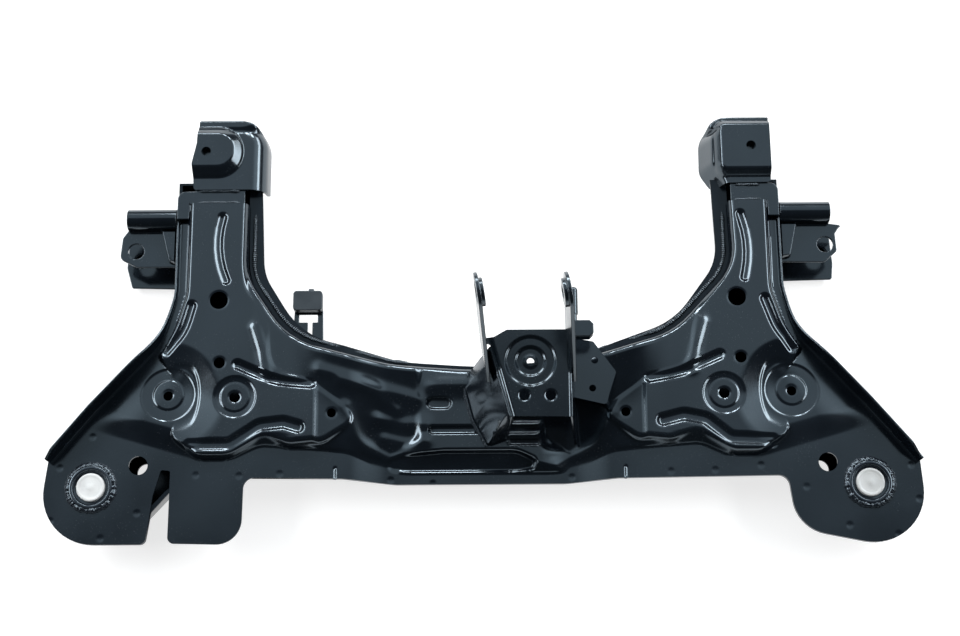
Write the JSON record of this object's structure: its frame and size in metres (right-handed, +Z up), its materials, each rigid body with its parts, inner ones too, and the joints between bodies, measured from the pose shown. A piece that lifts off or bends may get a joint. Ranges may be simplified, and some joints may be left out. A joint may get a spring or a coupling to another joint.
{
  "type": "subframe",
  "caption": "Pressed-steel front subframe with rear mounting sleeves, front mounting brackets, control-arm brackets and an upright engine-stop bracket.",
  "frame": {"origin": "midway between the two rear mounting sleeves, on the plane of their lower ends", "axes": "+X along the crossmember to the right seen from above, +Y towards the two arms' front ends, +Z up"},
  "size_m": [0.9531, 0.4863, 0.232],
  "materials": {
    "paint": "glossy dark dip paint",
    "ear_paint": "glossy dark dip paint",
    "weld": "glossy dark dip paint over weld beads",
    "sleeve_steel": "glossy dark dip paint over turned steel",
    "plug_plastic": "matt white",
    "hanger_block": "satin black"
  },
  "bodies": {
    "root": {"arm_bracket_cheek_left": "paint", "arm_bracket_cheek_right": "paint", "arm_bracket_lower_left": "paint", "arm_bracket_lower_right": "paint", "arm_bracket_upper_left": "paint", "arm_bracket_upper_right": "paint", "centre_ear_left": "ear_paint", "centre_ear_right": "ear_paint", "centre_wall_left": "paint", "centre_wall_right": "paint", "centre_web": "paint", "front_mount_left": "paint", "front_mount_right": "paint", "front_stub_left": "paint", "front_stub_right": "paint", "hanger": "paint", "hanger_cap": "hanger_block", "lower_shell": "paint", "plug_left": "plug_plastic", "plug_right": "plug_plastic", "side_plate": "paint", "sleeve_left": "sleeve_steel", "sleeve_right": "sleeve_steel", "stud": "sleeve_steel", "stud_block": "paint", "turned_edge_left": "paint", "turned_edge_right": "paint", "upper_shell": "paint", "weld_arm_end_left": "weld", "weld_arm_end_right": "weld", "weld_bay_left": "weld", "weld_bay_right": "weld", "weld_front_mount_left": "weld", "weld_front_mount_right": "weld", "weld_sleeve_left": "weld", "weld_sleeve_right": "weld", "weld_wall_left": "weld"}
  },
  "joints": []
}
